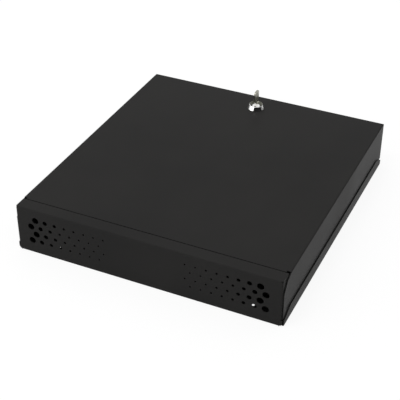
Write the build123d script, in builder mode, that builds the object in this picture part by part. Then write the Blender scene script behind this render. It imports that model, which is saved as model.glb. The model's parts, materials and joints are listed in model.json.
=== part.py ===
from build123d import *
import os

# Lock box for a low video recorder. A tray is folded from sheet steel, a lid hooks under the
# ledge along the tray's front, and a cam lock near the lid's back edge catches a bracket on
# the tray's rear wall. X runs to the right, Y to the back and Z up. The origin is the middle
# of the footprint, on the surface that the tray stands on. Sizes are millimetres.

# Box and sheet
lid_width = 388.0
box_depth = 421.0
box_height = 71.5
sheet = 1.2
fold = 1.8
tight_fold = 1.8

# Clearances between the lid and the tray
strip_gap = 0.4
panel_gap = 0.5
wall_gap = 0.4
rest_gap = 0.3
seam_gap = 1.5
hook_gap = 0.4

# Front of the tray
ledge_depth = 19.5
return_bottom = 10.0
fold_notch = 2.2
foot_height = 9.4
foot_reach = 1.3
foot_bevel = 4.4

# Rests for the lid behind the ledge, set back from the lid's corner notches
lid_rest_depth = 12.0
lid_rest_setback = 5.0
lid_rest_relief = 12.0

# Low side strips of the tray
strip_height = 19.1
strip_inset = 2.6
strip_end_height = 8.6
strip_slant = 21.5

# Rear wall of the tray
wall_lip = 11.0
rear_return_depth = 15.0
rear_return_bottom = 22.0
rear_return_top = 60.0
cable_hole_width = 120.0
cable_hole_height = 26.0
cable_hole_corner = 8.0
cable_hole_side_gap = 27.3
cable_hole_z = 27.0

# Screw holes in the floor
floor_hole_diameter = 5.0
floor_hole_inset_x = 49.0
floor_hole_inset_y = 23.75

# Vent holes in the front panel, listed from the ends inwards
vent_diameters = (9.9, 6.9, 5.3, 3.9, 3.4, 3.0, 2.6, 2.6)
vent_pitch = 14.85
vent_end_inset = 21.7
vent_rows = 4
vent_row_pitch = 11.3
vent_bottom_z = 21.0

# Lid
flange_inset = 2.4
flange_bottom = 10.0
flange_kink_z = 51.5
flange_shoulder_y = 12.5
flange_shoulder_drop = 5.7
flange_top_drop = 2.0
seam_notch_width = 5.7
seam_notch_depth = 2.9
rear_flange_depth = 20.0

# Hooks under the front edge of the lid
hook_width = 44.0
hook_reach = 8.0
hook_weld_depth = 12.0
hook_slope = 1.5
hook_corner = 3.0
hook_side_gap = 25.3

# Lock body, measured from the lock's axis and from the top of the lid
lock_x = -0.85
lock_from_back = 37.75
collar_radius = 13.0
collar_rim = 1.4
collar_crest = 10.3
collar_height = 7.6
collar_round = 0.5
crater_bottom = 4.4
collar_mouth = 0.5
barrel_radius = 9.5
barrel_length = 22.0
barrel_flat = 8.2
barrel_clearance = 0.1
groove_reach = 7.2

# Plug in the lock body
plug_radius = 5.5
plug_head_radius = 6.1
plug_head_height = 2.0
plug_face = 4.6
plug_chamfer = 0.5
plug_clearance = 0.06
plug_play = 0.3
tail_radius = 4.2
tail_flat = 3.2
tail_clearance = 0.05
tail_short = 0.1

# Quarter-turn stop under the lock body
quarter_turn = 90.0
stop_thickness = 1.2
stop_radius = 9.3
stop_root = 7.2
stop_lug_angle = 90.0
stop_lug_half_angle = 14.0
stop_lug_inner = 7.5
stop_lug_outer = 9.2
stop_lug_length = 1.1
stop_spare_angle = 3.0

# Cam and the screw that holds it
cam_thickness = 2.0
cam_length = 28.0
cam_hub_radius = 8.0
cam_tip_radius = 5.5
cam_washer_thickness = 0.8
cam_washer_radius = 6.0
cam_screw_radius = 2.0
cam_screw_clearance = 0.05
cam_screw_length = 4.6
cam_screw_tip_gap = 0.4
cam_screw_head_radius = 3.8
cam_screw_head_height = 2.4
screw_slot_width = 1.0
screw_slot_depth = 1.2

# Washer and nut that clamp the lock to the lid
nut_washer_thickness = 0.8
nut_washer_radius = 13.0
nut_washer_clearance = 0.2
nut_thickness = 4.0
nut_across_flats = 24.0

# Key
key_thickness = 2.0
key_height = 7.8
key_clearance = 0.1
key_seat_gap = 0.3
key_insertion = 23.2
key_shank = 6.2
key_tip_chamfer = 2.0
bow_width = 16.0
bow_height = 19.0
bow_corner = 5.0
bow_hole_radius = 2.2
bow_hole_drop = 5.0
cut_flat = 1.2
cut_depths = (1.6, 0.8, 2.0, 1.2, 0.6)

# Wafer tumblers in the plug
wafer_thickness = 1.0
wafer_width = 7.0
wafer_first = 4.5
wafer_pitch = 3.2
wafer_clearance = 0.15
wafer_inset = 0.1

# Keeper on the rear wall
keeper_thickness = 2.0
keeper_width = 36.0
keeper_reach = 15.0
keeper_drop = 16.0
keeper_fold = 3.5
keeper_clearance = 0.5
rivet_spacing = 22.0
rivet_radius = 1.6
rivet_clearance = 0.05
rivet_head_radius = 3.2
rivet_head_height = 1.1
rivet_tail_radius = 2.5
rivet_tail_height = 1.4

# Plastic trim round each cable hole
trim_wall = 1.0
trim_lip = 2.5
trim_lip_thickness = 0.8
trim_clearance = 0.1

# How far a cut runs past the face that it opens
overcut = 1.0

# Places that follow from the sizes
front = -box_depth / 2
back = box_depth / 2
lid_side = lid_width / 2
flange_inner = lid_side - sheet
strip_inner = lid_side + strip_gap
strip_outer = strip_inner + sheet
panel_side = flange_inner - panel_gap
foot_side = panel_side + foot_reach
relief_side = foot_side - foot_bevel
relief_depth = fold + sheet
seam_front = front + ledge_depth
lid_front = seam_front + seam_gap
notch_back = lid_front + seam_notch_depth
notch_side = lid_side - seam_notch_width
rest_front = notch_back + lid_rest_setback
lid_under = box_height - sheet
wall_outer = back - sheet - wall_gap
wall_inner = wall_outer - sheet
wall_top = lid_under - rest_gap
rest_neck_top = wall_top - lid_rest_relief
return_top = box_height - fold_notch
floor_hole_x = lid_side - floor_hole_inset_x
floor_hole_y = box_depth / 2 - floor_hole_inset_y
cable_hole_x = panel_side - cable_hole_side_gap - cable_hole_width / 2
lock_y = back - lock_from_back
hook_top = lid_under - hook_gap
hook_spacing = panel_side - hook_side_gap - hook_width / 2
barrel_bottom = box_height - barrel_length
groove_top = box_height - wafer_first + wafer_pitch / 2
groove_width = wafer_width + 2 * wafer_clearance
plug_shoulder = barrel_bottom - plug_play
stop_bottom = plug_shoulder - stop_thickness
cam_bottom = stop_bottom - cam_thickness
tail_bottom = cam_bottom + tail_short
cam_washer_bottom = cam_bottom - cam_washer_thickness
cam_screw_top = cam_washer_bottom + cam_screw_length + cam_screw_tip_gap
nut_washer_bottom = lid_under - nut_washer_thickness
nut_bottom = nut_washer_bottom - nut_thickness
key_rest = box_height + plug_face
key_tip = key_rest - key_insertion
bow_bottom = key_rest + key_shank
keeper_under = stop_bottom + keeper_clearance
keeper_top = keeper_under + keeper_thickness
keeper_bottom = keeper_under - keeper_drop
rivet_z = (keeper_under + keeper_bottom) / 2
sides = (-1, 1)
lock_axis = Axis((lock_x, lock_y, 0), (0, 0, 1))
lock_section = Plane(origin=(lock_x, lock_y, box_height), x_dir=(1, 0, 0), z_dir=(0, -1, 0))

os.makedirs("parts", exist_ok=True)


def lock_plane(height):
    """Level plane with its origin on the lock's axis."""
    return Plane(origin=(lock_x, lock_y, height), x_dir=(1, 0, 0), z_dir=(0, 0, 1))


def rectangle(x0, x1, y0, y1, mode=Mode.ADD):
    """Rectangle between two corners, for an open sketch."""
    with Locations(((x0 + x1) / 2, (y0 + y1) / 2)):
        Rectangle(abs(x1 - x0), abs(y1 - y0), mode=mode)


def polygon(*points, mode=Mode.ADD):
    """Closed outline through points, for an open sketch."""
    with BuildLine() as outline:
        Polyline(*points, close=True)
    make_face(outline.edges(), mode=mode)


def folded(thickness, radius, *points):
    """Section of a sheet to the left of its square-cornered outer path, for an open sketch."""
    outer = [Vector(*point) for point in points]
    steps = [(end - start).normalized() for start, end in zip(outer, outer[1:])]
    lefts = [Vector(-step.Y, step.X) for step in steps]
    inner = [outer[0] + lefts[0] * thickness]
    for corner, before, after in zip(outer[1:-1], lefts, lefts[1:]):
        inner.append(corner + (before + after) * thickness)
    inner.append(outer[-1] + lefts[-1] * thickness)
    with BuildLine() as outline:
        outside = FilletPolyline(*outer, radius=radius)
        inside = FilletPolyline(*inner, radius=radius - thickness)
        Line(outside @ 0, inside @ 0)
        Line(outside @ 1, inside @ 1)
    make_face(outline.edges())


def double_d(radius, flat, mode=Mode.ADD):
    """Circle with a flat to the left and to the right, for an open sketch."""
    with BuildSketch(mode=Mode.PRIVATE) as profile:
        Circle(radius)
        Rectangle(2 * flat, 2 * radius, mode=Mode.INTERSECT)
    add(profile.sketch, mode=mode)


def ring_sector(inner, outer, start, sweep, mode=Mode.ADD):
    """Part of a flat ring, for an open sketch."""
    with BuildLine() as outline:
        near = CenterArc((0, 0), inner, start, sweep)
        far = CenterArc((0, 0), outer, start, sweep)
        Line(near @ 0, far @ 0)
        Line(near @ 1, far @ 1)
    make_face(outline.edges(), mode=mode)


def wafer_height(index):
    """Level of the middle of a wafer and of the key's cut for it."""
    return box_height - wafer_first - index * wafer_pitch


# Tray, made as its right half and then mirrored
with BuildPart() as base_tray:
    # Floor, folded up into the low side strip with its slanted ends
    with BuildSketch(Plane.XZ.offset(-(front + strip_inset))):
        folded(sheet, fold, (0, 0), (strip_outer, 0), (strip_outer, strip_height))
    extrude(amount=-(box_depth - 2 * strip_inset))
    with BuildSketch(Plane.YZ.offset(strip_inner)):
        for end, inward in ((front + strip_inset, 1), (back - strip_inset, -1)):
            polygon(
                (end, strip_end_height),
                (end, strip_height),
                (end + inward * strip_slant, strip_height),
            )
    extrude(amount=sheet, mode=Mode.SUBTRACT)
    with BuildSketch(Plane.XY):
        rectangle(0, strip_outer, front, front + relief_depth)
        rectangle(0, strip_outer, wall_outer - relief_depth, back)
    extrude(amount=fold, mode=Mode.SUBTRACT)

    # Front panel with its ledge, the floor again, and the rear wall with its lip
    with BuildSketch(Plane.YZ):
        folded(
            sheet,
            fold,
            (seam_front, box_height),
            (front, box_height),
            (front, 0),
            (wall_outer, 0),
            (wall_outer, wall_top),
            (wall_outer - wall_lip, wall_top),
        )
    extrude(amount=panel_side)

    # Corner reliefs, and the panel's foot, which is a little wider and has a bevelled corner
    with BuildSketch(Plane.XY):
        rectangle(relief_side, panel_side, front, front + relief_depth)
        rectangle(relief_side, panel_side, wall_outer - relief_depth, wall_outer)
    extrude(amount=fold, mode=Mode.SUBTRACT)
    with BuildSketch(Plane.XZ.offset(-front)):
        polygon(
            (relief_side, 0),
            (foot_side, foot_bevel),
            (foot_side, foot_height),
            (relief_side, foot_height),
        )
    extrude(amount=-sheet)

    # Return that stiffens the end of the front panel and closes the end of the ledge
    with BuildSketch(Plane.XY.offset(foot_height)):
        rectangle(panel_side - tight_fold, panel_side, front, front + fold)
    extrude(amount=box_height - foot_height, mode=Mode.SUBTRACT)
    with BuildSketch(Plane.XY.offset(return_bottom)):
        folded(
            sheet,
            tight_fold,
            (panel_side - 2 * tight_fold, front),
            (panel_side, front),
            (panel_side, seam_front),
        )
    extrude(amount=return_top - return_bottom)
    with BuildSketch(Plane.XY.offset(return_top)):
        rectangle(panel_side - sheet, panel_side, front + fold, seam_front)
    extrude(amount=lid_under - return_top)

    # Rest for the lid, folded in at the end of a low neck behind the ledge
    with BuildSketch(Plane.XZ.offset(-seam_front)):
        rectangle(panel_side - sheet, panel_side, return_bottom, rest_neck_top)
    extrude(amount=-(rest_front - seam_front))
    with BuildSketch(Plane.XZ.offset(-rest_front)):
        folded(
            sheet,
            fold,
            (panel_side, return_bottom),
            (panel_side, wall_top),
            (panel_side - lid_rest_depth, wall_top),
        )
    extrude(amount=-lid_rest_depth)

    # The lip ends short of the lid's side folds
    with BuildSketch(Plane.XY.offset(wall_top - fold)):
        rectangle(panel_side - fold, panel_side, wall_outer - wall_lip, wall_outer)
    extrude(amount=fold, mode=Mode.SUBTRACT)

    # Return at the end of the rear wall
    with BuildSketch(Plane.XY.offset(rear_return_bottom)):
        rectangle(panel_side - tight_fold, panel_side, wall_inner, wall_outer)
    extrude(amount=rear_return_top - rear_return_bottom, mode=Mode.SUBTRACT)
    with BuildSketch(Plane.XY.offset(rear_return_bottom)):
        folded(
            sheet,
            tight_fold,
            (panel_side, wall_outer - rear_return_depth),
            (panel_side, wall_outer),
            (panel_side - 2 * tight_fold, wall_outer),
        )
    extrude(amount=rear_return_top - rear_return_bottom)

    # Vent holes, every other row half a pitch further in
    with BuildSketch(Plane.XZ.offset(-front)):
        for row in range(vent_rows):
            row_end = panel_side - vent_end_inset - vent_pitch / 2 * (row % 2)
            vent_z = vent_bottom_z + row * vent_row_pitch
            for column, diameter in enumerate(vent_diameters):
                with Locations((row_end - column * vent_pitch, vent_z)):
                    Circle(diameter / 2)
    extrude(amount=-sheet, both=True, mode=Mode.SUBTRACT)

    # Screw holes in the floor and the cable hole in the rear wall
    with BuildSketch(Plane.XY):
        with Locations(
            (floor_hole_x, floor_hole_y),
            (floor_hole_x, -floor_hole_y),
        ):
            Circle(floor_hole_diameter / 2)
    extrude(amount=sheet, both=True, mode=Mode.SUBTRACT)
    with BuildSketch(Plane.XZ.offset(-wall_outer)):
        with Locations((cable_hole_x, cable_hole_z)):
            RectangleRounded(cable_hole_width, cable_hole_height, cable_hole_corner)
    extrude(amount=sheet, both=True, mode=Mode.SUBTRACT)
    mirror(about=Plane.YZ)

    # Rivet holes for the keeper
    with BuildSketch(Plane.XZ.offset(-wall_outer)):
        for side in sides:
            with Locations((lock_x + side * rivet_spacing / 2, rivet_z)):
                Circle(rivet_radius + rivet_clearance)
    extrude(amount=sheet, both=True, mode=Mode.SUBTRACT)
base_tray.part.label = "base_tray"
export_step(base_tray.part, "parts/base_tray.step")


# Lid, a shell that is open below and in front
with BuildPart() as lid:
    with BuildSketch(Plane.XY.offset(flange_bottom)):
        rectangle(-lid_side, lid_side, front + flange_inset, back)
    extrude(amount=box_height - flange_bottom)
    top_edges = lid.edges().group_by(Axis.Z)[-1]
    back_edge = top_edges.sort_by(Axis.Y)[-1]
    fillet([*top_edges.filter_by(Axis.Y), back_edge], radius=fold)
    open_faces = [lid.faces().sort_by(Axis.Z)[0], lid.faces().sort_by(Axis.Y)[0]]
    offset(amount=-sheet, openings=open_faces)

    # Slanted front edges of the side flanges
    with BuildSketch(Plane.YZ):
        polygon(
            (notch_back, box_height + overcut),
            (notch_back, box_height - flange_top_drop),
            (front + flange_shoulder_y, box_height - flange_shoulder_drop),
            (front + flange_inset, flange_kink_z),
            (front, flange_kink_z),
            (front, box_height + overcut),
        )
    extrude(amount=lid_width, both=True, mode=Mode.SUBTRACT)

    # Front strip of the top, between the corner notches
    with BuildSketch(Plane.XY.offset(lid_under)):
        rectangle(-notch_side, notch_side, lid_front, notch_back)
    extrude(amount=sheet)

    # The rear flange is shorter than the side flanges
    with BuildSketch(Plane.XY.offset(flange_bottom)):
        rectangle(-flange_inner, flange_inner, back - sheet, back)
    extrude(amount=box_height - rear_flange_depth - flange_bottom, mode=Mode.SUBTRACT)

    # Hole for the lock
    with BuildSketch(lock_plane(lid_under)):
        double_d(barrel_radius + barrel_clearance, barrel_flat + barrel_clearance)
    extrude(amount=sheet, mode=Mode.SUBTRACT)
lid.part.label = "lid"
export_step(lid.part, "parts/lid.step")


# Hooks, joggled so that they lie under the lid and reach under the ledge
hook_joint = lid_front + hook_slope
for hook_name, hook_x in (
    ("lid_hook_left", -hook_spacing),
    ("lid_hook_middle", 0),
    ("lid_hook_right", hook_spacing),
):
    with BuildPart() as hook:
        with BuildSketch(Plane.YZ.offset(hook_x)):
            polygon(
                (hook_joint + hook_weld_depth, lid_under),
                (hook_joint, lid_under),
                (lid_front, hook_top),
                (seam_front - hook_reach, hook_top),
                (seam_front - hook_reach, hook_top - sheet),
                (lid_front, hook_top - sheet),
                (hook_joint, lid_under - sheet),
                (hook_joint + hook_weld_depth, lid_under - sheet),
            )
        extrude(amount=hook_width / 2, both=True)
        chamfer(hook.edges().filter_by(Axis.Z).group_by(Axis.Y)[0], length=hook_corner)
    hook.part.label = hook_name
    export_step(hook.part, f"parts/{hook_name}.step")


# Lock body: a conical collar on the lid with a crater round the plug, and under it a barrel
# with two flats
with BuildPart() as lock_body:
    head_bore = plug_head_radius + plug_clearance
    bore = plug_radius + plug_clearance
    mouth = head_bore + collar_mouth
    head_seat = plug_face - plug_head_height - plug_play
    with BuildSketch(lock_section):
        with BuildLine():
            FilletPolyline(
                (collar_radius, collar_rim),
                (collar_crest, collar_height),
                (mouth, crater_bottom),
                radius=collar_round,
            )
            Polyline(
                (mouth, crater_bottom),
                (head_bore, crater_bottom - collar_mouth),
                (head_bore, head_seat),
                (bore, head_seat),
                (bore, -barrel_length),
                (barrel_radius, -barrel_length),
                (barrel_radius, 0),
                (collar_radius, 0),
                (collar_radius, collar_rim),
            )
        make_face()
    revolve(axis=lock_axis)
    with BuildSketch(lock_plane(barrel_bottom)):
        for side in sides:
            rectangle(
                side * barrel_flat,
                side * (barrel_radius + overcut),
                -barrel_radius,
                barrel_radius,
            )
    extrude(amount=barrel_length, mode=Mode.SUBTRACT)

    # Groove that the wafers spring into when there is no key
    with BuildSketch(lock_plane(barrel_bottom)):
        Rectangle(groove_width, 2 * groove_reach)
    extrude(amount=groove_top - barrel_bottom, mode=Mode.SUBTRACT)

    # Lug that stops the turn
    with BuildSketch(lock_plane(barrel_bottom - stop_lug_length)):
        ring_sector(
            stop_lug_inner,
            stop_lug_outer,
            stop_lug_angle - stop_lug_half_angle,
            2 * stop_lug_half_angle,
        )
    extrude(amount=stop_lug_length)
lock_body.part.label = "lock_body"
export_step(lock_body.part, "parts/lock_body.step")


# Washer and nut that clamp the lid between themselves and the collar
with BuildPart() as lock_washer:
    with BuildSketch(lock_plane(nut_washer_bottom)):
        Circle(nut_washer_radius)
        Circle(barrel_radius + nut_washer_clearance, mode=Mode.SUBTRACT)
    extrude(amount=nut_washer_thickness)
lock_washer.part.label = "lock_washer"
export_step(lock_washer.part, "parts/lock_washer.step")

with BuildPart() as lock_nut:
    with BuildSketch(lock_plane(nut_bottom)):
        RegularPolygon(nut_across_flats / 2, 6, major_radius=False)
        Circle(barrel_radius + barrel_clearance, mode=Mode.SUBTRACT)
    extrude(amount=nut_thickness)
lock_nut.part.label = "lock_nut"
export_step(lock_nut.part, "parts/lock_nut.step")


# Plug that the key turns
with BuildPart() as lock_plug:
    with BuildSketch(lock_section):
        polygon(
            (0, plug_face),
            (plug_head_radius - plug_chamfer, plug_face),
            (plug_head_radius, plug_face - plug_chamfer),
            (plug_head_radius, plug_face - plug_head_height),
            (plug_radius, plug_face - plug_head_height),
            (plug_radius, plug_shoulder - box_height),
            (0, plug_shoulder - box_height),
        )
    revolve(axis=lock_axis)
    with BuildSketch(lock_plane(tail_bottom)):
        double_d(tail_radius, tail_flat)
    extrude(amount=plug_shoulder - tail_bottom)

    # Keyway, a slot across it for each wafer, and the hole for the cam's screw
    keyway_bottom = key_tip - key_seat_gap
    with BuildSketch(lock_plane(keyway_bottom)):
        Rectangle(key_thickness + 2 * key_clearance, key_height + 2 * key_clearance)
    extrude(amount=key_rest - keyway_bottom, mode=Mode.SUBTRACT)
    for index in range(len(cut_depths)):
        with BuildSketch(lock_plane(wafer_height(index))):
            Rectangle(wafer_width + 2 * wafer_clearance, 2 * plug_head_radius)
        extrude(amount=wafer_thickness / 2 + wafer_clearance, both=True, mode=Mode.SUBTRACT)
    with BuildSketch(lock_plane(tail_bottom)):
        Circle(cam_screw_radius + cam_screw_clearance)
    extrude(amount=cam_screw_top - tail_bottom, mode=Mode.SUBTRACT)
lock_plug.part.label = "lock_plug"
export_step(lock_plug.part, "parts/lock_plug.step")


# Wafers, drawn into the plug as the key holds them
for index in range(len(cut_depths)):
    with BuildPart() as wafer:
        with BuildSketch(lock_plane(wafer_height(index))):
            Circle(plug_radius - wafer_inset)
            Rectangle(wafer_width, 2 * plug_radius, mode=Mode.INTERSECT)
            Rectangle(
                key_thickness + 2 * key_clearance,
                key_height + 2 * key_clearance,
                mode=Mode.SUBTRACT,
            )
        extrude(amount=wafer_thickness / 2, both=True)
    wafer.part.label = f"wafer_{index + 1}"
    export_step(wafer.part, f"parts/wafer_{index + 1}.step")


# Washer on the plug's tail, whose notch leaves the lug a quarter turn
with BuildPart() as stop_washer:
    with BuildSketch(lock_plane(stop_bottom)):
        Circle(stop_radius)
        ring_sector(
            stop_root,
            stop_radius + overcut,
            stop_lug_angle - stop_lug_half_angle - stop_spare_angle,
            quarter_turn + 2 * (stop_lug_half_angle + stop_spare_angle),
            mode=Mode.SUBTRACT,
        )
        double_d(tail_radius + tail_clearance, tail_flat + tail_clearance, mode=Mode.SUBTRACT)
    extrude(amount=stop_thickness)
stop_washer.part.label = "stop_washer"
export_step(stop_washer.part, "parts/stop_washer.step")


# Cam, which points to the left while the box is unlocked
with BuildPart() as lock_cam:
    with BuildSketch(lock_plane(cam_bottom)):
        Circle(cam_hub_radius)
        with Locations((cam_tip_radius - cam_length, 0)):
            Circle(cam_tip_radius)
        make_hull()
        double_d(tail_radius + tail_clearance, tail_flat + tail_clearance, mode=Mode.SUBTRACT)
    extrude(amount=cam_thickness)
lock_cam.part.label = "lock_cam"
export_step(lock_cam.part, "parts/lock_cam.step")

with BuildPart() as cam_washer:
    with BuildSketch(lock_plane(cam_washer_bottom)):
        Circle(cam_washer_radius)
        Circle(cam_screw_radius + cam_screw_clearance, mode=Mode.SUBTRACT)
    extrude(amount=cam_washer_thickness)
cam_washer.part.label = "cam_washer"
export_step(cam_washer.part, "parts/cam_washer.step")

with BuildPart() as cam_screw:
    with BuildSketch(lock_plane(cam_washer_bottom)):
        Circle(cam_screw_radius)
    extrude(amount=cam_screw_length)
    with BuildSketch(lock_plane(cam_washer_bottom)):
        Circle(cam_screw_head_radius)
    extrude(amount=-cam_screw_head_height)
    with BuildSketch(lock_plane(cam_washer_bottom - cam_screw_head_height)):
        Rectangle(2 * cam_screw_head_radius, screw_slot_width)
    extrude(amount=screw_slot_depth, mode=Mode.SUBTRACT)
cam_screw.part.label = "cam_screw"
export_step(cam_screw.part, "parts/cam_screw.step")


# Key, a flat plate that stands across the box's width
with BuildPart() as key:
    with BuildSketch(Plane.YZ.offset(lock_x)):
        blade_front = lock_y - key_height / 2
        blade_back = lock_y + key_height / 2
        polygon(
            (blade_front, bow_bottom + bow_corner),
            (blade_front, key_tip + key_tip_chamfer),
            (blade_front + key_tip_chamfer, key_tip),
            (blade_back - key_tip_chamfer, key_tip),
            (blade_back, key_tip + key_tip_chamfer),
            (blade_back, bow_bottom + bow_corner),
        )
        for index, depth in enumerate(cut_depths):
            cut_z = wafer_height(index)
            cut_root = blade_front + depth
            cut_mouth = blade_front - overcut
            half_root = cut_flat / 2
            half_mouth = half_root + cut_root - cut_mouth
            polygon(
                (cut_mouth, cut_z - half_mouth),
                (cut_root, cut_z - half_root),
                (cut_root, cut_z + half_root),
                (cut_mouth, cut_z + half_mouth),
                mode=Mode.SUBTRACT,
            )
        with Locations((lock_y, bow_bottom + bow_height / 2)):
            RectangleRounded(bow_width, bow_height, bow_corner)
        with Locations((lock_y, bow_bottom + bow_height - bow_hole_drop)):
            Circle(bow_hole_radius, mode=Mode.SUBTRACT)
    extrude(amount=key_thickness / 2, both=True)
key.part.label = "key"
export_step(key.part, "parts/key.step")


# Bracket that the cam turns under
with BuildPart() as keeper_bracket:
    with BuildSketch(Plane.YZ.offset(lock_x)):
        folded(
            keeper_thickness,
            keeper_fold,
            (wall_inner, keeper_bottom),
            (wall_inner, keeper_top),
            (wall_inner - keeper_reach, keeper_top),
        )
    extrude(amount=keeper_width / 2, both=True)
    with BuildSketch(Plane.XZ.offset(-wall_inner)):
        for side in sides:
            with Locations((lock_x + side * rivet_spacing / 2, rivet_z)):
                Circle(rivet_radius + rivet_clearance)
    extrude(amount=keeper_thickness, both=True, mode=Mode.SUBTRACT)
keeper_bracket.part.label = "keeper_bracket"
export_step(keeper_bracket.part, "parts/keeper_bracket.step")


# Two rivets through the rear wall and the bracket
with BuildPart() as keeper_rivets:
    tail_face = wall_inner - keeper_thickness
    for side in sides:
        rivet_x = lock_x + side * rivet_spacing / 2
        with BuildSketch(Plane(origin=(rivet_x, 0, rivet_z), x_dir=(1, 0, 0), z_dir=(0, 0, 1))):
            polygon(
                (0, wall_outer + rivet_head_height),
                (rivet_head_radius / 2, wall_outer + rivet_head_height),
                (rivet_head_radius, wall_outer),
                (rivet_radius, wall_outer),
                (rivet_radius, tail_face),
                (rivet_tail_radius, tail_face),
                (rivet_tail_radius, tail_face - rivet_tail_height),
                (0, tail_face - rivet_tail_height),
            )
        revolve(axis=Axis((rivet_x, 0, rivet_z), (0, 1, 0)))
keeper_rivets.part.label = "keeper_rivets"
export_step(keeper_rivets.part, "parts/keeper_rivets.step")


# Trim that covers the edge of each cable hole on both faces of the wall
for trim_name, trim_x in (
    ("cable_trim_left", -cable_hole_x),
    ("cable_trim_right", cable_hole_x),
):
    trim_back = wall_outer + trim_lip_thickness
    trim_depth = sheet + 2 * trim_lip_thickness
    with BuildPart() as trim:
        with BuildSketch(Plane.XZ.offset(-trim_back)):
            with Locations((trim_x, cable_hole_z)):
                RectangleRounded(
                    cable_hole_width + 2 * trim_lip,
                    cable_hole_height + 2 * trim_lip,
                    cable_hole_corner + trim_lip,
                )
        extrude(amount=trim_depth)
        with BuildSketch(Plane.XZ.offset(-wall_outer)):
            with Locations((trim_x, cable_hole_z)):
                RectangleRounded(
                    cable_hole_width + 2 * (trim_lip + overcut),
                    cable_hole_height + 2 * (trim_lip + overcut),
                    cable_hole_corner + trim_lip + overcut,
                )
                RectangleRounded(
                    cable_hole_width - 2 * trim_clearance,
                    cable_hole_height - 2 * trim_clearance,
                    cable_hole_corner - trim_clearance,
                    mode=Mode.SUBTRACT,
                )
        extrude(amount=sheet, mode=Mode.SUBTRACT)
        with BuildSketch(Plane.XZ.offset(-trim_back)):
            with Locations((trim_x, cable_hole_z)):
                RectangleRounded(
                    cable_hole_width - 2 * (trim_clearance + trim_wall),
                    cable_hole_height - 2 * (trim_clearance + trim_wall),
                    cable_hole_corner - trim_clearance - trim_wall,
                )
        extrude(amount=trim_depth, mode=Mode.SUBTRACT)
    trim.part.label = trim_name
    export_step(trim.part, f"parts/{trim_name}.step")
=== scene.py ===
# %% [markdown]
# # A lock box for a video recorder
#
# The box is folded from black powder-coated sheet steel. Its lid hooks under a ledge along the
# front, and a chrome cam lock near the back edge holds it shut. The solids come ready-made
# from the part's own model, in metres, and none of them is moved or reshaped. So the work here
# is the finish of each metal, the studio round the box, and the camera.

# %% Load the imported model
import bpy
import json
import math
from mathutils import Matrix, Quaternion, Vector


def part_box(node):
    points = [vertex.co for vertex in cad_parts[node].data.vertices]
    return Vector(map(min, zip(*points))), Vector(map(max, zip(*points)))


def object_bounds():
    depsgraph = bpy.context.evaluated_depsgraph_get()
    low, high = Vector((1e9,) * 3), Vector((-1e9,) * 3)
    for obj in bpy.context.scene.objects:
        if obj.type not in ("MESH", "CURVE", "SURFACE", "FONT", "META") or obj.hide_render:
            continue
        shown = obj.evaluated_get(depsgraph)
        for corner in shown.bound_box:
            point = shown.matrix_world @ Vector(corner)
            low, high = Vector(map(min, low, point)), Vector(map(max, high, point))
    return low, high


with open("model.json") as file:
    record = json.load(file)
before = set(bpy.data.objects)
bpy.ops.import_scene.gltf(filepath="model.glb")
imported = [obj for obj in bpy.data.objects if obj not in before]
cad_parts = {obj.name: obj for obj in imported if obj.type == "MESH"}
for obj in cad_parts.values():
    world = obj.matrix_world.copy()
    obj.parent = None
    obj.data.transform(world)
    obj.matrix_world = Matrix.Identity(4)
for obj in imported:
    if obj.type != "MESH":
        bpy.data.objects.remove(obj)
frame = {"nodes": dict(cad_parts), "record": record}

cad_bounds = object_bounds()
nodes = frame["nodes"]

# %% [markdown]
# ## Helpers for shader nodes
#
# A material is a graph of nodes. By hand, each node is added in the Shader Editor and wired to
# the next. In code the same few moves come back all the time: feed a socket, do a sum, stretch
# a faint pattern into a clear one, and mix two tones or two values by a mask. Each move is a
# function here that returns the socket it ends in, so a finish reads like a recipe.


# %% Helpers for sums and ranges
def feed(tree, socket, value):
    """Give a socket a plain number or tone, or wire it to the socket that is passed in."""
    if isinstance(value, float):
        socket.default_value = value
    elif isinstance(value, tuple):
        socket.default_value = (*value, 1.0)
    else:
        tree.links.new(value, socket)


def maths(tree, operation, first, second):
    """Result of a Math node on two values."""
    node = tree.nodes.new("ShaderNodeMath")
    node.operation = operation
    feed(tree, node.inputs[0], first)
    feed(tree, node.inputs[1], second)
    return node.outputs["Value"]


def stretch_range(tree, value, low, high):
    """Result of a Map Range node that takes low to 0 and high to 1, and keeps within them."""
    node = tree.nodes.new("ShaderNodeMapRange")
    node.inputs["From Min"].default_value = low
    node.inputs["From Max"].default_value = high
    tree.links.new(value, node.inputs["Value"])
    return node.outputs["Result"]


# %% Helpers for mixing
def mix(tree, kind, mask, first, second):
    """Result of a Mix node of one kind, which gives the first at mask 0 and the second at 1."""
    node = tree.nodes.new("ShaderNodeMix")
    node.data_type = kind
    feed(tree, node.inputs["A"], first)
    feed(tree, node.inputs["B"], second)
    tree.links.new(mask, node.inputs["Factor"])
    return node.outputs["Result"]


def mix_tones(tree, mask, first, second):
    """Colour between two tones."""
    return mix(tree, "RGBA", mask, first, second)


def mix_values(tree, mask, first, second):
    """Value between two values."""
    return mix(tree, "FLOAT", mask, first, second)


# %% [markdown]
# The patterns read Object coordinates. Those are metres on the piece itself, so a pattern keeps
# its true size, sits still from any side, and rides along when the lid tilts. Generated
# coordinates would stretch with each piece's own box, and a grain of the same paint would be
# coarse on the lid and fine on a hook.


# %% Helpers for places and noise
def object_place(tree):
    """Place on the piece, in metres."""
    return tree.nodes.new("ShaderNodeTexCoord").outputs["Object"]


def noise(tree, place, per_metre, detail):
    """Noise pattern with so many bumps in a metre."""
    node = tree.nodes.new("ShaderNodeTexNoise")
    node.inputs["Detail"].default_value = detail
    tree.links.new(place, node.inputs["Vector"])
    feed(tree, node.inputs["Scale"], per_metre)
    return node.outputs["Fac"]


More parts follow.
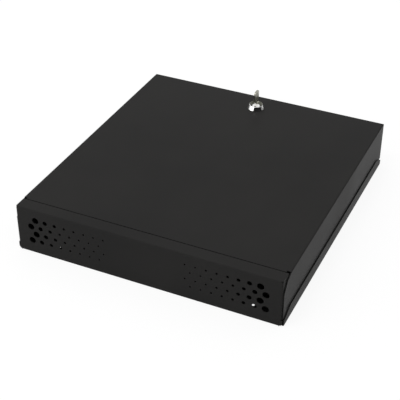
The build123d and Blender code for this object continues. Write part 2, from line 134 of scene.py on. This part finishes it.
def split(tree, vector):
    """The X, Y and Z sockets of a vector."""
    node = tree.nodes.new("ShaderNodeSeparateXYZ")
    tree.links.new(vector, node.inputs["Vector"])
    return node.outputs


# %% [markdown]
# The lock is round, and its lathe marks, its crater and its keyway all lie round one axis. So
# its patterns need a place that is measured from that axis. A Mapping node moves the zero point
# there, and leaves the height out. The axis is taken from the plug's own box, so it can't drift
# away from the model.

# %% A place measured from the lock's axis
plug_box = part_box("lock_plug")
lock_axis = (plug_box[0] + plug_box[1]) / 2


def from_lock_axis(tree, ahead=0.0):
    """Flat place measured from the lock's axis, or from a point that lies ahead of it."""
    node = tree.nodes.new("ShaderNodeMapping")
    node.inputs["Location"].default_value = (-lock_axis[0], ahead - lock_axis[1], 0.0)
    node.inputs["Scale"].default_value = (1.0, 1.0, 0.0)
    tree.links.new(object_place(tree), node.inputs["Vector"])
    return node.outputs["Vector"]


def length(tree, vector):
    """Length of a vector."""
    node = tree.nodes.new("ShaderNodeVectorMath")
    node.operation = "LENGTH"
    tree.links.new(vector, node.inputs[0])
    return node.outputs["Value"]


print("lock axis at", [round(value, 5) for value in lock_axis[:2]])

# %% [markdown]
# ## Effects that several finishes share
#
# Paint, plastic and plated metal all have some fine grain, some slow drift in tone and some
# wear where two faces meet. The nodes could be copied into every material, but then each change
# has to be made many times. A node group is built once, takes its size as a named input and
# puts out one mask or height, and each material places it with its own numbers.


# %% A helper for node groups
def new_group(name, inputs, output):
    """Empty group, the sockets that it is given, and the socket that its result goes to."""
    group = bpy.data.node_groups.new(name, "ShaderNodeTree")
    for socket, default in inputs.items():
        made = group.interface.new_socket(socket, in_out="INPUT", socket_type="NodeSocketFloat")
        made.default_value = default
    group.interface.new_socket(output, in_out="OUTPUT", socket_type="NodeSocketFloat")
    given = group.nodes.new("NodeGroupInput").outputs
    result = group.nodes.new("NodeGroupOutput").inputs[output]
    return group, given, result


# %% [markdown]
# Powder is sprayed on dry and melts in the oven. It flows out into small soft bumps on slower
# waves, which painters call orange peel. Two noise patterns of different size, added together,
# give that relief, where one alone looks like sand.

# %% Peel
peel, given, result = new_group(
    "Peel", {"Bumps per metre": 900.0, "Waves per metre": 150.0}, "Height"
)
place = object_place(peel)
bumps = noise(peel, place, given["Bumps per metre"], detail=2.0)
waves = noise(peel, place, given["Waves per metre"], detail=1.0)
peel.links.new(maths(peel, "ADD", bumps, waves), result)
print("group:", peel.name)

# %% [markdown]
# A coat is never quite even, and plated metal clouds over in places. One large soft noise,
# stretched so that it reaches both ends of the mask, gives such patches. They are kept faint
# where they are used, because they should be felt and not seen.

# %% Drift
patch_low = 0.3
patch_high = 0.7
drift, given, result = new_group("Drift", {"Patches per metre": 9.0}, "Mask")
patches = noise(drift, object_place(drift), given["Patches per metre"], detail=4.0)
drift.links.new(stretch_range(drift, patches, patch_low, patch_high), result)
print("group:", drift.name)

# %% [markdown]
# A key slides in and out of its keyway for years, so its scratches run up and down. The same
# noise does this too, once the place is squeezed in height: what was a round bump is then a
# long thin line.

# %% Hairlines
squeeze = 0.06
mark_low = 0.25
mark_high = 0.75
hairlines, given, result = new_group("Hairlines", {"Lines per metre": 6000.0}, "Mask")
squeezed = hairlines.nodes.new("ShaderNodeMapping")
squeezed.inputs["Scale"].default_value = (1.0, 1.0, squeeze)
hairlines.links.new(object_place(hairlines), squeezed.inputs["Vector"])
lines = noise(hairlines, squeezed.outputs["Vector"], given["Lines per metre"], detail=3.0)
hairlines.links.new(stretch_range(hairlines, lines, mark_low, mark_high), result)
print("group:", hairlines.name)

# %% [markdown]
# A turned face shows the rings of the lathe. A Wave texture can draw rings, but they come out
# as even as a target. Noise in one dimension, read at the distance from the axis, gives rings
# of uneven width and strength, as a worn cutting tool leaves them.

# %% Turned rings
rings, given, result = new_group("Turned rings", {"Rings per metre": 4000.0}, "Mask")
reach = length(rings, from_lock_axis(rings))
marks = rings.nodes.new("ShaderNodeTexNoise")
marks.noise_dimensions = "1D"
marks.inputs["Scale"].default_value = 1.0
marks.inputs["Detail"].default_value = 3.0
rings.links.new(maths(rings, "MULTIPLY", reach, given["Rings per metre"]), marks.inputs["W"])
rings.links.new(stretch_range(rings, marks.outputs["Fac"], mark_low, mark_high), result)
print("group:", rings.name)

# %% [markdown]
# Hands, keys and the shelf rub a coat thin along its sharp edges first. A Bevel node gives the
# normal that the surface would have with rounded edges. Where that normal leans away from the
# true one, an edge is near. Noise then breaks the line up, since real wear is never a neat
# outline. On the black coat the lighter edge is partly wear and partly a painted edge highlight.

# %% Edge wear, also a painted edge highlight on the black coat
flat_lean = 0.99
edge_lean = 0.86
gap_low = 0.35
gap_high = 0.6
wear_and_highlight, given, result = new_group(
    "Edge wear", {"Radius": 0.0008, "Patches per metre": 260.0}, "Mask"
)
rounded = wear_and_highlight.nodes.new("ShaderNodeBevel")
rounded.samples = 6
wear_and_highlight.links.new(given["Radius"], rounded.inputs["Radius"])
true_face = wear_and_highlight.nodes.new("ShaderNodeNewGeometry")
lean = wear_and_highlight.nodes.new("ShaderNodeVectorMath")
lean.operation = "DOT_PRODUCT"
wear_and_highlight.links.new(rounded.outputs["Normal"], lean.inputs[0])
wear_and_highlight.links.new(true_face.outputs["Normal"], lean.inputs[1])
near_edge = stretch_range(wear_and_highlight, lean.outputs["Value"], flat_lean, edge_lean)
broken = noise(wear_and_highlight, object_place(wear_and_highlight), given["Patches per metre"], detail=5.0)
gaps = stretch_range(wear_and_highlight, broken, gap_low, gap_high)
wear_and_highlight.links.new(maths(wear_and_highlight, "MULTIPLY", near_edge, gaps), result)
print("group:", wear_and_highlight.name)

# %% [markdown]
# ## One recipe for every finish
#
# Each finish is a Principled shader. Two tones are mixed by a mask, a third tone shows through
# where edges are worn, the same masks move the roughness, and a bump follows the grain. What
# doesn't change over the surface, such as how strongly the coat reflects, is set straight on
# the shader. One function for all of them keeps the finishes alike in kind, so that only their
# numbers tell plastic from plate.


# %% A helper that places a group
def add_group(tree, group, values):
    """The only output of a group, placed with its input values."""
    node = tree.nodes.new("ShaderNodeGroup")
    node.node_tree = group
    for name, value in values.items():
        node.inputs[name].default_value = value
    return node.outputs[0]


# %% A helper for finishes
def finish(name, tones, roughness, metallic, mask, edge_wear_and_highlight, height, bump, specular=0.5):
    """Material with two tones, worn edges and a bump. Returns it, its colour and roughness.

    Tones and roughness go from mask 0 to mask 1. Mask and height are a group and its inputs.
    The edge argument holds the tone and roughness of worn edges, how much they show, and how
    wide they are. On the black coat that lighter edge is also a painted highlight.
    """
    made = bpy.data.materials.new(name)
    made.use_nodes = True
    tree = made.node_tree
    shader = tree.nodes["Principled BSDF"]
    shader.inputs["Metallic"].default_value = metallic
    shader.inputs["Specular IOR Level"].default_value = specular

    pattern = add_group(tree, *mask)
    edges = add_group(tree, wear_and_highlight, {"Radius": edge_wear_and_highlight["radius"]})
    edges = maths(tree, "MULTIPLY", edges, edge_wear_and_highlight["share"])
    colour = mix_tones(tree, pattern, *tones)
    colour = mix_tones(tree, edges, colour, edge_wear_and_highlight["tone"])
    gloss = mix_values(tree, pattern, *roughness)
    gloss = mix_values(tree, edges, gloss, edge_wear_and_highlight["roughness"])
    repaint(made, colour, gloss)

    relief = tree.nodes.new("ShaderNodeBump")
    relief.inputs["Distance"].default_value = bump
    tree.links.new(add_group(tree, *height), relief.inputs["Height"])
    tree.links.new(relief.outputs["Normal"], shader.inputs["Normal"])
    print("finish:", made.name)
    return made, colour, gloss


def repaint(made, colour, gloss):
    """Wire a colour and a roughness to a material's shader, in place of any before them."""
    shader = made.node_tree.nodes["Principled BSDF"]
    made.node_tree.links.new(colour, shader.inputs["Base Color"])
    made.node_tree.links.new(gloss, shader.inputs["Roughness"])


# %% [markdown]
# ## The sheet steel
#
# Black powder coat is nearly black, satin, and faintly pebbled. Its tones are a shade warm,
# because a neutral black looks blue beside a white floor. It reflects less than a glossy paint
# does, so the specular level is far below the usual half: with more, the side of the box, which
# is seen at a slant, would mirror the floor and turn grey.

# %% Black powder coat
powder_coat, _, _ = finish(
    "Black powder coat",
    tones=[(0.0218, 0.0215, 0.0212), (0.0256, 0.025, 0.0243)],
    roughness=[0.34, 0.42],
    metallic=0.0,
    mask=(drift, {"Patches per metre": 9.0}),
    # The lighter edge tone is partly wear and partly a painted edge highlight.
    edge_wear_and_highlight={"tone": (0.05, 0.049, 0.047), "roughness": 0.3, "share": 0.25, "radius": 0.0005},
    height=(peel, {"Bumps per metre": 1100.0, "Waves per metre": 170.0}),
    bump=0.00002,
    specular=0.022,
)

# %% [markdown]
# ## The chrome of the lock
#
# The lock is chromed. Its plug shows the rings of the lathe. At the open end of the keyway, in
# front of the key, a dark dot of painted shade stands for the shadow in the hollow keyway. A dot
# could be painted on an image, but here it is worked out: how far a place lies outside a small
# rectangle, made ragged by noise, and turned into a mask.

# %% Chrome of the plug
chrome_tones = [(0.78, 0.78, 0.77), (0.86, 0.86, 0.85)]
chrome, clean_colour, clean_gloss = finish(
    "Polished chrome",
    tones=chrome_tones,
    roughness=[0.05, 0.12],
    metallic=1.0,
    mask=(rings, {"Rings per metre": 5000.0}),
    edge_wear_and_highlight={"tone": (0.62, 0.6, 0.54), "roughness": 0.25, "share": 0.3, "radius": 0.0002},
    height=(rings, {"Rings per metre": 5000.0}),
    bump=0.000001,
)

# %% Painted shade at the open end of the keyway
mouth_ahead = 0.005
mouth_half_width = 0.0012
mouth_half_length = 0.0015
mouth_raggedness = 0.0003
mouth_border = (0.0005, 0.0002)
# Dark tone of the painted shade at the keyway's open end.
painted_shade = (0.03, 0.029, 0.025)
tree = chrome.node_tree
place = split(tree, from_lock_axis(tree, mouth_ahead))
beside = maths(tree, "SUBTRACT", maths(tree, "ABSOLUTE", place["X"], 0.0), mouth_half_width)
beyond = maths(tree, "SUBTRACT", maths(tree, "ABSOLUTE", place["Y"], 0.0), mouth_half_length)
outside = maths(tree, "MAXIMUM", beside, beyond)
blotch = add_group(tree, drift, {"Patches per metre": 900.0})
ragged = maths(tree, "MULTIPLY", blotch, mouth_raggedness)
outside = maths(tree, "ADD", outside, ragged)
mouth = stretch_range(tree, outside, *mouth_border)
repaint(
    chrome,
    mix_tones(tree, mouth, clean_colour, painted_shade),
    mix_values(tree, mouth, clean_gloss, 0.4),
)
print("keyway grime", round(mouth_ahead * 1000, 1), "mm ahead of the axis")

# %% [markdown]
# The collar is die-cast and polished outside. The back of its crater is painted dark olive and
# made duller: painted shade in the hollow. That part is found by two things, its distance from
# the lock's axis and how far back it lies, and the product of the two masks is the shaded place.

# %% Chrome of the collar
collar_chrome, clean_colour, clean_gloss = finish(
    "Collar chrome",
    tones=chrome_tones,
    roughness=[0.04, 0.08],
    metallic=1.0,
    mask=(drift, {"Patches per metre": 120.0}),
    edge_wear_and_highlight={"tone": (0.66, 0.64, 0.58), "roughness": 0.2, "share": 0.25, "radius": 0.0002},
    height=(peel, {"Bumps per metre": 3000.0, "Waves per metre": 400.0}),
    bump=0.0000015,
)

# %% Painted shade at the back of the crater
crater_rim = 0.0107
rim_softness = 0.0004
shade_starts = -0.006
shade_full = -0.002
tree = collar_chrome.node_tree
place = from_lock_axis(tree)
inside = stretch_range(tree, length(tree, place), crater_rim, crater_rim - rim_softness)
behind = stretch_range(tree, split(tree, place)["Y"], shade_starts, shade_full)
crater_shade = maths(tree, "MULTIPLY", inside, behind)
blotch = add_group(tree, drift, {"Patches per metre": 700.0})
# Dark olive tones of the painted shade at the back of the crater.
crater_shade_tone = mix_tones(tree, blotch, (0.085, 0.085, 0.068), (0.15, 0.15, 0.125))
repaint(
    collar_chrome,
    mix_tones(tree, crater_shade, clean_colour, crater_shade_tone),
    mix_values(tree, crater_shade, clean_gloss, 0.28),
)
print("soiled within", round(crater_rim * 1000, 1), "mm of the axis")

# %% [markdown]
# ## The key
#
# The key is brass under nickel plate. The shank and the foot of the bow are painted nearly
# white, a painted highlight, and the band above them is painted dark and greenish, a painted
# reflection of the dark collar and lid. The top of the bow keeps the plate's own tone. These are
# bands in height, each with a border that noise makes ragged.

# %% Nickel plate of the key
nickel, clean_colour, clean_gloss = finish(
    "Nickel plate",
    tones=[(0.24, 0.24, 0.2), (0.36, 0.35, 0.3)],
    roughness=[0.22, 0.34],
    metallic=1.0,
    mask=(hairlines, {"Lines per metre": 5000.0}),
    edge_wear_and_highlight={"tone": (0.62, 0.52, 0.3), "roughness": 0.25, "share": 0.4, "radius": 0.0003},
    height=(hairlines, {"Lines per metre": 5000.0}),
    bump=0.000002,
)

# %% Painted highlight on the foot and painted dark reflection on the bow
key_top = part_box("key")[1][2]
reflection_bottom = key_top - 0.016
reflection_fades = reflection_bottom + 0.004
reflection_ends = reflection_bottom + 0.0105
border = 0.0015
border_raggedness = 0.003
# Near white tone of the painted highlight on the shank and the foot of the bow.
painted_highlight_tone = (0.97, 0.96, 0.92)
tree = nickel.node_tree
blotch = add_group(tree, drift, {"Patches per metre": 500.0})
ragged = maths(tree, "MULTIPLY", blotch, border_raggedness)
level = maths(tree, "ADD", split(tree, object_place(tree))["Z"], ragged)
above_foot = stretch_range(tree, level, reflection_bottom, reflection_bottom + border)
below_top = stretch_range(tree, level, reflection_ends, reflection_fades)
dark_reflection_band = maths(tree, "MULTIPLY", above_foot, below_top)
# Dark greenish tones of the painted reflection on the bow.
painted_dark_reflection = mix_tones(tree, blotch, (0.13, 0.13, 0.09), (0.19, 0.19, 0.14))
colour = mix_tones(tree, above_foot, painted_highlight_tone, clean_colour)
colour = mix_tones(tree, dark_reflection_band, colour, painted_dark_reflection)
gloss = mix_values(tree, above_foot, 0.25, clean_gloss)
gloss = mix_values(tree, dark_reflection_band, gloss, 0.6)
repaint(nickel, colour, gloss)
print("tarnish from", round(reflection_bottom * 1000, 1), "to", round(reflection_ends * 1000, 1), "mm")

# %% [markdown]
# ## What sits inside
#
# With the lid shut none of this shows, but the lid opens. Zinc-plated steel looks cloudy and
# has soft lathe marks on its washers. The cut brass of the wafers has fine lines, and the
# rivets are plain aluminium. The trim of the cable openings is black plastic, duller than the
# paint beside it, so that it reads as another material.

# %% Zinc plate
zinc, _, _ = finish(
    "Zinc plate",
    tones=[(0.48, 0.49, 0.51), (0.62, 0.62, 0.6)],
    roughness=[0.28, 0.45],
    metallic=1.0,
    mask=(drift, {"Patches per metre": 160.0}),
    edge_wear_and_highlight={"tone": (0.36, 0.35, 0.34), "roughness": 0.4, "share": 0.4, "radius": 0.0003},
    height=(rings, {"Rings per metre": 2500.0}),
    bump=0.000004,
)

# %% Brass and aluminium
brass, _, _ = finish(
    "Wafer brass",
    tones=[(0.6, 0.45, 0.2), (0.7, 0.55, 0.27)],
    roughness=[0.25, 0.4],
    metallic=1.0,
    mask=(hairlines, {"Lines per metre": 6000.0}),
    edge_wear_and_highlight={"tone": (0.75, 0.62, 0.34), "roughness": 0.2, "share": 0.4, "radius": 0.0002},
    height=(peel, {"Bumps per metre": 3000.0, "Waves per metre": 500.0}),
    bump=0.000003,
)
aluminium, _, _ = finish(
    "Rivet aluminium",
    tones=[(0.62, 0.62, 0.63), (0.74, 0.74, 0.75)],
    roughness=[0.3, 0.42],
    metallic=1.0,
    mask=(drift, {"Patches per metre": 200.0}),
    edge_wear_and_highlight={"tone": (0.5, 0.5, 0.5), "roughness": 0.45, "share": 0.3, "radius": 0.0003},
    height=(peel, {"Bumps per metre": 2500.0, "Waves per metre": 500.0}),
    bump=0.000005,
)

# %% Black plastic of the cable trim
trim_plastic, _, _ = finish(
    "Trim plastic",
    tones=[(0.02, 0.02, 0.02), (0.028, 0.028, 0.028)],
    roughness=[0.5, 0.62],
    metallic=0.0,
    mask=(drift, {"Patches per metre": 40.0}),
    edge_wear_and_highlight={"tone": (0.05, 0.05, 0.05), "roughness": 0.4, "share": 0.4, "radius": 0.0004},
    height=(peel, {"Bumps per metre": 2000.0, "Waves per metre": 300.0}),
    bump=0.00001,
)

# %% [markdown]
# ## Dress the pieces
#
# Each piece comes with a plain material and a note of what it is made of. The note says which
# finish it gets, so that a new piece of the same stuff would be dressed without another line.
# Only the collar steps out of this, because its chrome has painted shade in its crater.

# %% Give each piece its finish
finish_of_slot = {
    "black_powder_coat": powder_coat,
    "polished_chrome": chrome,
    "nickel_plate": nickel,
    "zinc_plated_steel": zinc,
    "wafer_brass": brass,
    "rivet_aluminium": aluminium,
    "black_trim": trim_plastic,
}
finish_of_node = {
    part["node"]: finish_of_slot[part["material_slot"]] for part in frame["record"]["subparts"]
}
finish_of_node["lock_body"] = collar_chrome
for name, made in finish_of_node.items():
    for slot in nodes[name].material_slots:
        slot.material = made
print("finishes given to", len(finish_of_node), "nodes")

# %% [markdown]
# ## Floor and world
#
# The box stands on a plain pale floor in a white studio. More light would make the floor white
# too, but it would also wash out the black box. So only the rays that look at the background
# get it white: rays from the camera, and rays that glance off metal or pass through glass. All
# other rays, which carry the light to the box, find a floor and a sky at a plain level.


# %% A helper for what sees the white studio
def sees_white(tree):
    """1 for rays from the camera, for mirrored rays and for rays that passed through glass."""
    rays = tree.nodes.new("ShaderNodeLightPath").outputs
    seen = maths(tree, "MAXIMUM", rays["Is Camera Ray"], rays["Is Glossy Ray"])
    return maths(tree, "MAXIMUM", seen, rays["Is Transmission Ray"])


def matte(name, grey):
    """Dull grey material without any gloss, for what isn't part of the box."""
    made = bpy.data.materials.new(name)
    made.use_nodes = True
    shader = made.node_tree.nodes["Principled BSDF"]
    shader.inputs["Base Color"].default_value = (grey, grey, grey, 1.0)
    shader.inputs["Roughness"].default_value = 1.0
    shader.inputs["Specular IOR Level"].default_value = 0.0
    return made


# %% [markdown]
# The floor's paint is a blend. Most of what the camera sees of it is its own glow, just above
# white, and the rest is real paint, which catches the soft shadow that ties the box to the
# floor.

# %% Floor
floor_radius = 12.0
floor_glow = 1.04
glow_share = 0.85
bpy.ops.object.select_all(action="DESELECT")
bpy.ops.mesh.primitive_circle_add(vertices=96, radius=floor_radius, fill_type="NGON")
floor = bpy.context.object
floor.name = "floor"
floor_paint = matte("Floor white", 0.9)
tree = floor_paint.node_tree
glow = tree.nodes.new("ShaderNodeEmission")
glow.inputs["Strength"].default_value = floor_glow
blend = tree.nodes.new("ShaderNodeMixShader")
tree.links.new(maths(tree, "MULTIPLY", sees_white(tree), glow_share), blend.inputs["Fac"])
tree.links.new(tree.nodes["Principled BSDF"].outputs["BSDF"], blend.inputs[1])
tree.links.new(glow.outputs["Emission"], blend.inputs[2])
tree.links.new(blend.outputs["Shader"], tree.nodes["Material Output"].inputs["Surface"])
floor.data.materials.append(floor_paint)
print("floor radius:", floor_radius, "m")

# %% [markdown]
# The sky that lights the box is graded by height. It is dimmer at the horizon, brightest at the
# height of a window, and darker again overhead, so that the lid gets no hot spot and the front
# panel stays a little darker than the lid, as in a real room.

# %% World
horizon_grey = 0.6
ceiling_grey = 0.35
window_height = 0.6
ceiling_starts = 0.82
ceiling_full = 0.94
world = bpy.data.worlds.new("White studio")
bpy.context.scene.world = world
world.use_nodes = True
tree = world.node_tree
direction = tree.nodes.new("ShaderNodeTexCoord").outputs["Generated"]
height = split(tree, direction)["Z"]
from_horizon = stretch_range(tree, height, 0.0, window_height)
to_ceiling = stretch_range(tree, height, ceiling_starts, ceiling_full)
level = mix_values(tree, from_horizon, horizon_grey, 1.0)
level = mix_values(tree, to_ceiling, level, ceiling_grey)
level = maths(tree, "MAXIMUM", level, sees_white(tree))
tree.links.new(level, tree.nodes["Background"].inputs["Color"])
print("world:", world.name)

# %% [markdown]
# ## Cards for the chrome
#
# Polished chrome looks like chrome only where it has something dark to mirror as well. So a
# black card stands in a curve behind the camera and to its right, as in a photographer's
# studio, and a grey card goes on from there. The camera itself doesn't see them. A card is a
# cylinder without ends, of which only the sides between two directions are kept.


# %% A helper for cards
card_reach = 1.9
card_sides = 60


def card(name, first, last, height, grey):
    """Upright card, curved round the box between two directions in degrees from +X."""
    bpy.ops.object.select_all(action="DESELECT")
    bpy.ops.mesh.primitive_cylinder_add(
        vertices=card_sides,
        radius=card_reach,
        depth=height,
        end_fill_type="NOTHING",
        location=(0.0, 0.0, height / 2),
    )
    made = bpy.context.object
    made.name = name
    bpy.ops.object.mode_set(mode="EDIT")
    bpy.ops.mesh.select_mode(type="FACE")
    bpy.ops.mesh.select_all(action="DESELECT")
    bpy.ops.object.mode_set(mode="OBJECT")
    for face in made.data.polygons:
        direction = math.degrees(math.atan2(face.center.y, face.center.x))
        face.select = not first < direction < last
    bpy.ops.object.mode_set(mode="EDIT")
    bpy.ops.mesh.delete(type="FACE")
    bpy.ops.object.mode_set(mode="OBJECT")
    made.data.materials.append(matte(name, grey))
    made.visible_camera = False
    print(name, "has", len(made.data.polygons), "sides")
    return made


# %% Cards
black_card = card("black_card", -102.0, 18.0, height=0.9, grey=0.02)
grey_card = card("grey_card", 18.0, 84.0, height=0.6, grey=0.4)

# %% [markdown]
# ## Lamps
#
# Two soft boxes do the rest. A large one above and in front lights the lid evenly, and a wide
# low one at the left fills in the front panel. Both are weak and large, because a small strong
# lamp would show as a hard spot in the satin coat.


# %% A helper for soft boxes
def soft_box(name, place, target, size, power):
    """Rectangular area lamp that faces a point."""
    lamp_data = bpy.data.lights.new(name, "AREA")
    lamp_data.shape = "RECTANGLE"
    lamp_data.size = size[0]
    lamp_data.size_y = size[1]
    lamp_data.energy = power
    lamp = bpy.data.objects.new(name, lamp_data)
    bpy.context.scene.collection.objects.link(lamp)
    lamp.location = place
    lamp.rotation_mode = "QUATERNION"
    lamp.rotation_quaternion = (Vector(target) - Vector(place)).to_track_quat("-Z", "Y")
    print("lamp:", name, power, "W")


# %% Soft boxes
middle = (cad_bounds[0] + cad_bounds[1]) / 2
soft_box("soft_box_above", (-0.5, -1.0, 3.0), middle, size=(1.2, 1.2), power=20.0)
soft_box("soft_box_left", (-1.7, -1.9, 0.5), middle, size=(2.0, 0.8), power=8.0)

# %% [markdown]
# ## Camera
#
# The view was worked out from the edges of the box in the photograph: how far the camera is
# turned round it, how high it stands, how far off it is, and how long its lens is. Lining it up
# by eye would do for a sketch, but a box has straight edges, and they show at once when the
# perspective is off. A long lens from over a metre away gives the gentle perspective here.

# %% Camera
azimuth = math.radians(24.822)
elevation = math.radians(34.583)
roll = math.radians(0.117)
distance = 1.4347
lens = 91.54
aim = Vector((0.0068, -0.0509, 0.0393))
away = Vector(
    (
        math.sin(azimuth) * math.cos(elevation),
        -math.cos(azimuth) * math.cos(elevation),
        math.sin(elevation),
    )
)
camera_data = bpy.data.cameras.new("camera")
camera_data.sensor_width = 36.0
camera_data.lens = lens
camera_data.clip_start = 0.05
camera_data.clip_end = 60.0
camera = bpy.data.objects.new("camera", camera_data)
bpy.context.scene.collection.objects.link(camera)
camera.location = aim + away * distance
camera.rotation_mode = "QUATERNION"
camera.rotation_quaternion = (-away).to_track_quat("-Z", "Y") @ Quaternion((0, 0, 1), roll)
bpy.context.scene.camera = camera
bpy.context.scene.view_settings.view_transform = "Standard"
print("camera at", [round(value, 3) for value in camera.location])
